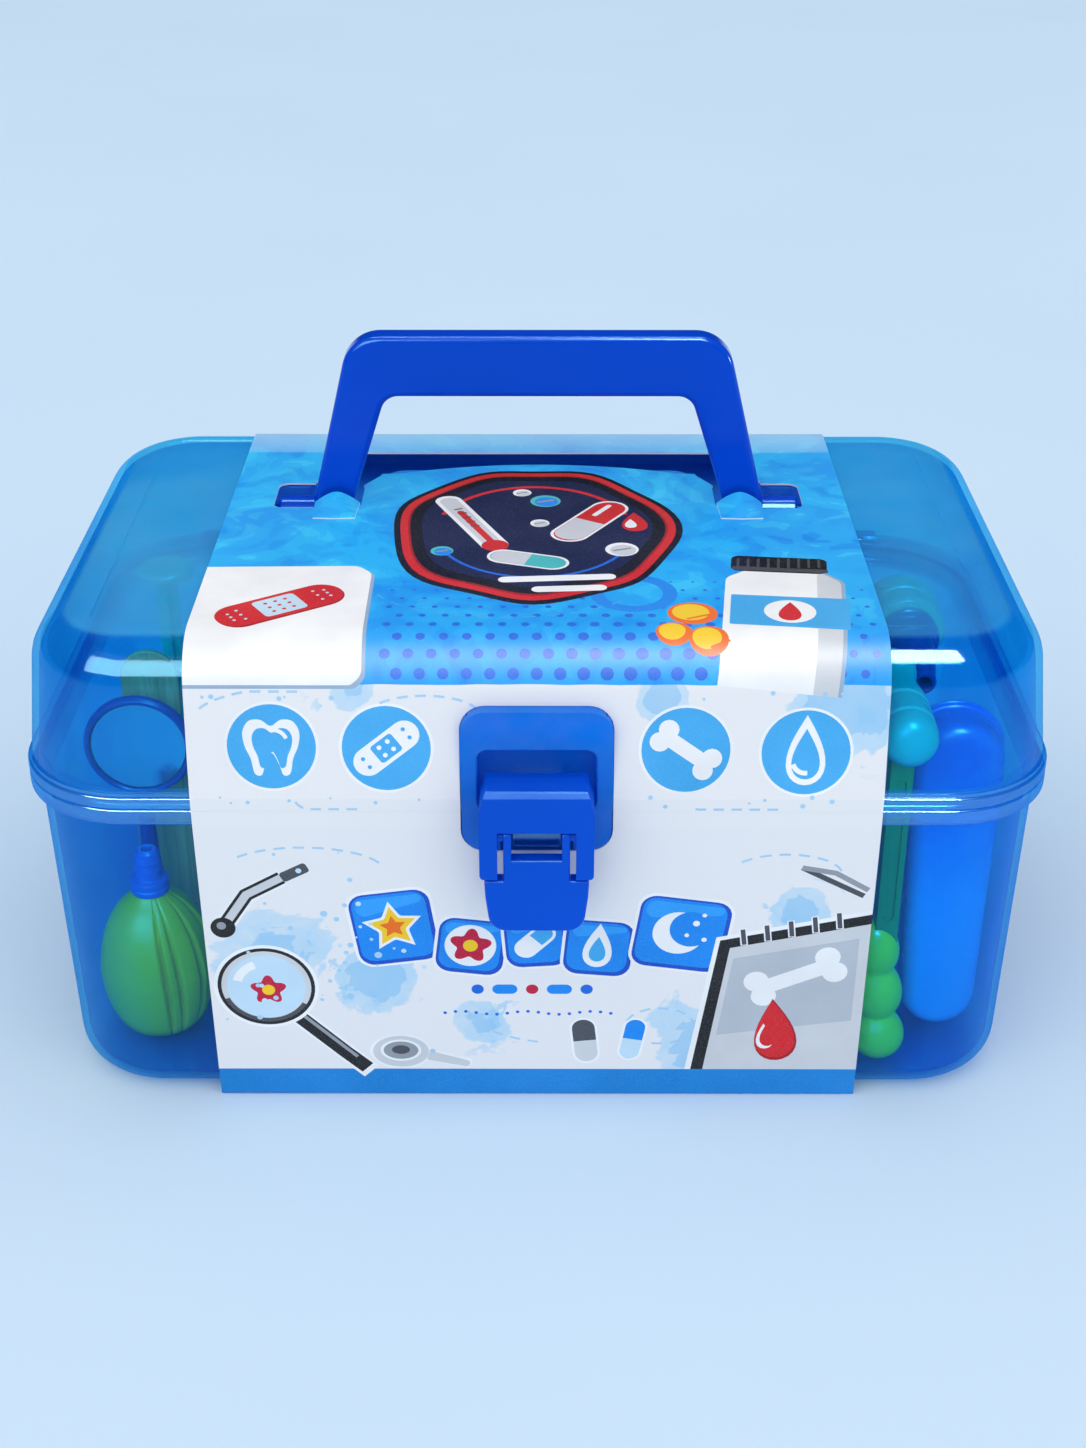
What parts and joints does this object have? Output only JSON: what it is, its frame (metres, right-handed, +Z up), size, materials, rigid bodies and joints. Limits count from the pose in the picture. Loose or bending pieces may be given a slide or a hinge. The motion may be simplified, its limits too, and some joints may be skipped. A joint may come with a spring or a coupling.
{
  "type": "toy doctor case",
  "caption": "Translucent toy doctor case: tub and hinged lid with fold-down handle, snap latch with flip lever, printed card sleeve, and pretend doctor's tools inside.",
  "frame": {"origin": "centre of the resting face, the lower side of the card sleeve's bottom panel", "axes": "+X to the right as seen from the latch side, +Y towards the hinges, +Z up; the latch faces -Y"},
  "size_m": [0.26, 0.1799, 0.1805],
  "materials": {
    "case_blue": "translucent moulded polypropylene, glossy",
    "solid_blue": "opaque moulded plastic, glossy",
    "printed_card": null,
    "soft_yellow_green": "soft vinyl, satin",
    "dark_blue": "moulded plastic",
    "mirror": "foil mirror",
    "wood": "plain birch",
    "clear_plastic": "clear moulded plastic",
    "teal": "moulded plastic",
    "green": "moulded plastic",
    "dark_green": "moulded plastic",
    "dish_blue": "moulded plastic"
  },
  "bodies": {
    "tub": {"tub": "case_blue", "hinge_pins": "solid_blue", "sleeve_lower": "printed_card", "squeeze_bulb": "soft_yellow_green", "bulb_neck": "solid_blue", "mirror_frame": "dark_blue", "mirror_disc": "mirror", "tongue_spatula": "wood", "syringe_barrel": "clear_plastic", "hammer_grip": "green", "hammer_stem": "dark_green", "hammer_head": "teal", "kidney_dish": "dish_blue", "otoscope_body": "teal", "otoscope_cone": "dark_blue"},
    "lid": {"lid": "case_blue", "sleeve_upper": "printed_card"},
    "handle": {"handle": "solid_blue"},
    "latch_hood": {"latch_hood": "solid_blue"},
    "latch_lever": {"latch_lever": "solid_blue"},
    "plunger": {"syringe_plunger": "teal"}
  },
  "joints": [
    {"name": "lid_hinge", "type": "hinge", "parent": "tub", "child": "lid", "pos_m": [0, 0.0845, 0.0915], "axis": [-1, 0, 0], "range_deg": [0, 110]},
    {"name": "handle_fold", "type": "hinge", "parent": "lid", "child": "handle", "pos_m": [0, 0.018, 0.1293], "axis": [-1, 0, 0], "range_deg": [0, 74]},
    {"name": "hood_swing", "type": "hinge", "parent": "lid", "child": "latch_hood", "pos_m": [0, -0.0835, 0.0975], "axis": [-1, 0, 0], "range_deg": [0, 90]},
    {"name": "lever_flip", "type": "hinge", "parent": "latch_hood", "child": "latch_lever", "pos_m": [0, -0.0898, 0.0898], "axis": [-1, 0, 0], "range_deg": [0, 90]},
    {"name": "plunger_slide", "type": "slide", "parent": "tub", "child": "plunger", "axis": [0, 0, 1], "range_m": [-0.03, 0]}
  ]
}
